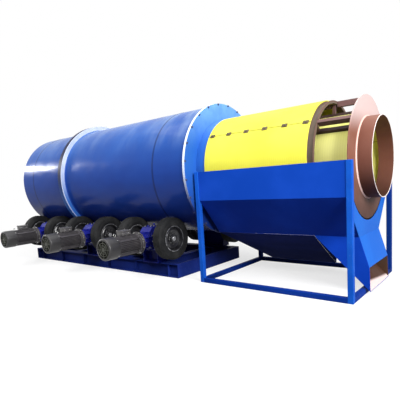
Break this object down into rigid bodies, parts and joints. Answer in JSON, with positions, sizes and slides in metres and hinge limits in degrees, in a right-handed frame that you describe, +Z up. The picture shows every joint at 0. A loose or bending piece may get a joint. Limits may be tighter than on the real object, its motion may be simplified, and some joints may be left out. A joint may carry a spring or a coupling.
{
  "type": "trommel screen",
  "caption": "Trommel screen with a drum scrubber carried and turned on pneumatic tyres, a double-layer screen and a hopper with two chutes.",
  "frame": {"origin": "on the floor under the drums' axis, at the middle of the base frame", "axes": "+X along the drums towards the discharge, -Y towards the motors, +Z up"},
  "size_m": [7.288, 3.013, 2.749],
  "materials": {
    "drum_blue": "gloss",
    "frame_blue": "satin",
    "gear_blue": "gloss",
    "screen_yellow": "matt",
    "red_primer": "matt",
    "tyre_rubber": "matt",
    "rim_black": "satin",
    "motor_grey": "satin",
    "cowl_grey": "satin"
  },
  "bodies": {
    "root": {"base_cross_beams": "frame_blue", "base_end_channels": "frame_blue", "base_side_beams": "frame_blue", "base_stiffeners": "frame_blue", "chute_cover": "frame_blue", "chute_floor": "frame_blue", "chute_sides": "frame_blue", "fan_cowls": "cowl_grey", "front_stands": "frame_blue", "gearbox_1": "gear_blue", "gearbox_2": "gear_blue", "gearbox_3": "gear_blue", "hopper_end_plate": "frame_blue", "hopper_feed_plate": "frame_blue", "hopper_partition": "frame_blue", "hopper_posts": "frame_blue", "hopper_rails": "frame_blue", "hopper_side_plates": "frame_blue", "hopper_slope_plates": "frame_blue", "motor_1": "motor_grey", "motor_2": "motor_grey", "motor_3": "motor_grey", "rear_pillow_blocks": "frame_blue", "rear_stands": "frame_blue", "terminal_boxes": "cowl_grey", "undersize_end_wall": "frame_blue", "undersize_feed_wall": "frame_blue", "undersize_floor": "frame_blue"},
    "drum": {"scrubber_shell": "drum_blue", "guide_ring": "drum_blue", "feed_head": "drum_blue", "feed_collar": "drum_blue", "lifters": "drum_blue", "discharge_flange": "drum_blue", "discharge_head": "drum_blue", "neck_hoop": "drum_blue", "middle_hoop": "red_primer", "window_hoop": "red_primer", "panel_longerons": "red_primer", "window_bars": "red_primer", "inner_bars": "red_primer", "hoop_spokes": "red_primer", "screen_panels": "screen_yellow", "seam_clamps": "red_primer", "inner_screen": "screen_yellow", "ring_plate": "red_primer", "discharge_collar": "red_primer"},
    "front_wheels_1": {"front_tyres_1": "tyre_rubber", "front_axle_1": "rim_black"},
    "front_wheels_2": {"front_tyres_2": "tyre_rubber", "front_axle_2": "rim_black"},
    "front_wheels_3": {"front_tyres_3": "tyre_rubber", "front_axle_3": "rim_black"},
    "rear_wheels_1": {"rear_tyres_1": "tyre_rubber", "rear_axle_1": "rim_black"},
    "rear_wheels_2": {"rear_tyres_2": "tyre_rubber", "rear_axle_2": "rim_black"},
    "rear_wheels_3": {"rear_tyres_3": "tyre_rubber", "rear_axle_3": "rim_black"}
  },
  "joints": [
    {"name": "drum_spin", "type": "hinge", "parent": "root", "child": "drum", "pos_m": [0, 0, 1.654], "axis": [1, 0, 0], "continuous": true},
    {"name": "front_wheels_1_spin", "type": "hinge", "parent": "root", "child": "front_wheels_1", "pos_m": [-1.56, -0.85, 0.63067], "axis": [1, 0, 0], "continuous": true},
    {"name": "front_wheels_2_spin", "type": "hinge", "parent": "root", "child": "front_wheels_2", "pos_m": [0.03, -0.85, 0.63067], "axis": [1, 0, 0], "continuous": true},
    {"name": "front_wheels_3_spin", "type": "hinge", "parent": "root", "child": "front_wheels_3", "pos_m": [1.62, -0.85, 0.63067], "axis": [1, 0, 0], "continuous": true},
    {"name": "rear_wheels_1_spin", "type": "hinge", "parent": "root", "child": "rear_wheels_1", "pos_m": [-1.56, 0.85, 0.63067], "axis": [1, 0, 0], "continuous": true},
    {"name": "rear_wheels_2_spin", "type": "hinge", "parent": "root", "child": "rear_wheels_2", "pos_m": [0.03, 0.85, 0.63067], "axis": [1, 0, 0], "continuous": true},
    {"name": "rear_wheels_3_spin", "type": "hinge", "parent": "root", "child": "rear_wheels_3", "pos_m": [1.62, 0.85, 0.63067], "axis": [1, 0, 0], "continuous": true}
  ],
  "couplings": [
    {"joint": "front_wheels_1_spin", "follows": "drum_spin", "ratio": -3.0303},
    {"joint": "front_wheels_2_spin", "follows": "drum_spin", "ratio": -3.0303},
    {"joint": "front_wheels_3_spin", "follows": "drum_spin", "ratio": -3.0303},
    {"joint": "rear_wheels_1_spin", "follows": "drum_spin", "ratio": -3.0303},
    {"joint": "rear_wheels_2_spin", "follows": "drum_spin", "ratio": -3.0303},
    {"joint": "rear_wheels_3_spin", "follows": "drum_spin", "ratio": -3.0303}
  ]
}
